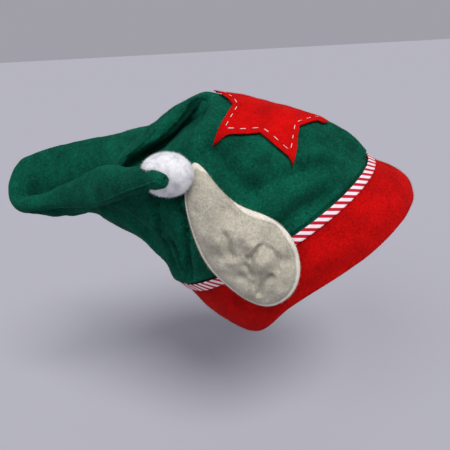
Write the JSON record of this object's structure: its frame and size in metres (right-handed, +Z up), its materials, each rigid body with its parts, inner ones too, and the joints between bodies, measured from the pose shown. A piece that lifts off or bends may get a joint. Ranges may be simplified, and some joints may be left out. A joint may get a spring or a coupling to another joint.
{
  "type": "elf hat",
  "caption": "Pointed felt elf hat with a turned cuff, candy-stripe ribbon, star, padded ears and a pompom on its folded tip.",
  "frame": {"origin": "mount head_seat: in the plane of the rim, 4 mm behind the centre of the rim's oval, where the head goes in", "axes": "+Z up, -Y towards the hat's front, -X towards the wearer's right, the side with the folded tip; the rim tilts 32.8 degrees, front up, as worn in the picture"},
  "size_m": [0.1888, 0.3391, 0.1946],
  "materials": {
    "crown_felt": "matte felt",
    "cuff_felt": "matte felt",
    "star_felt": "matte felt",
    "ribbon": "satin ribbon, striped",
    "ear_plush": "short plush",
    "pompom": "fluffy"
  },
  "bodies": {
    "root": {"crown": "crown_felt", "cuff": "cuff_felt", "ribbon": "ribbon", "star": "star_felt", "ear_right": "ear_plush", "ear_left": "ear_plush", "pompom": "pompom"}
  },
  "joints": []
}
